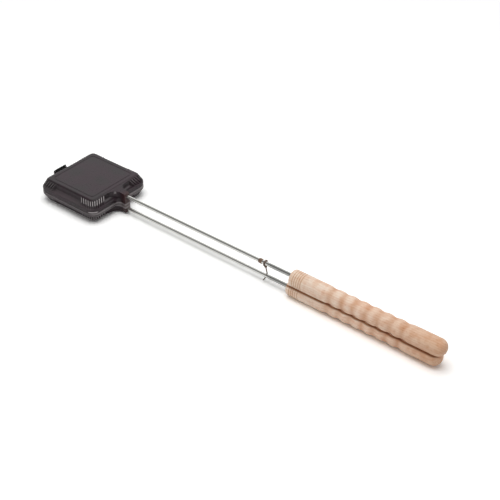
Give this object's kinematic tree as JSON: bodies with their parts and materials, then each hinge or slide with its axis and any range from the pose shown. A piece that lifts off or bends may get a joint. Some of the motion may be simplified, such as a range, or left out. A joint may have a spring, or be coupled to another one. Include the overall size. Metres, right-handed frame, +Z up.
{
  "type": "pie iron",
  "caption": "Long-handled cast-iron pie iron: two square hollow shells joined by a hooked hinge, twin steel rods, grooved split wooden handles and a swinging wire latch.",
  "frame": {"origin": "centre of the lower shell's flat outer plate, the face that the part rests on", "axes": "+X from the head along the rods to the handles, +Z up through the closed shells, +Y across the head"},
  "size_m": [0.7264, 0.12, 0.0437],
  "materials": {
    "cast_iron": "seasoned grey-black casting, fine sand texture, semi-matte",
    "rod_steel": "bright drawn round bar",
    "beech": "turned pale beech, bare satin, short flecks along the grain",
    "latch_wire": "dull bent wire",
    "stop_collar": "browned crimped collar"
  },
  "bodies": {
    "lower_half": {"lower_pan": "cast_iron", "lower_rod": "rod_steel", "lower_handle": "beech"},
    "upper_half": {"upper_pan": "cast_iron", "upper_rod": "rod_steel", "upper_handle": "beech", "latch_stop": "stop_collar"},
    "latch_link": {"latch": "latch_wire"}
  },
  "joints": [
    {"name": "shell_hinge", "type": "hinge", "parent": "lower_half", "child": "upper_half", "pos_m": [-0.071, 0, 0.019], "axis": [0, -1, 0], "range_deg": [0, 75]},
    {"name": "latch_swing", "type": "hinge", "parent": "upper_half", "child": "latch_link", "pos_m": [0.347, 0, 0.0298], "axis": [1, 0, 0], "range_deg": [0, 170]}
  ]
}
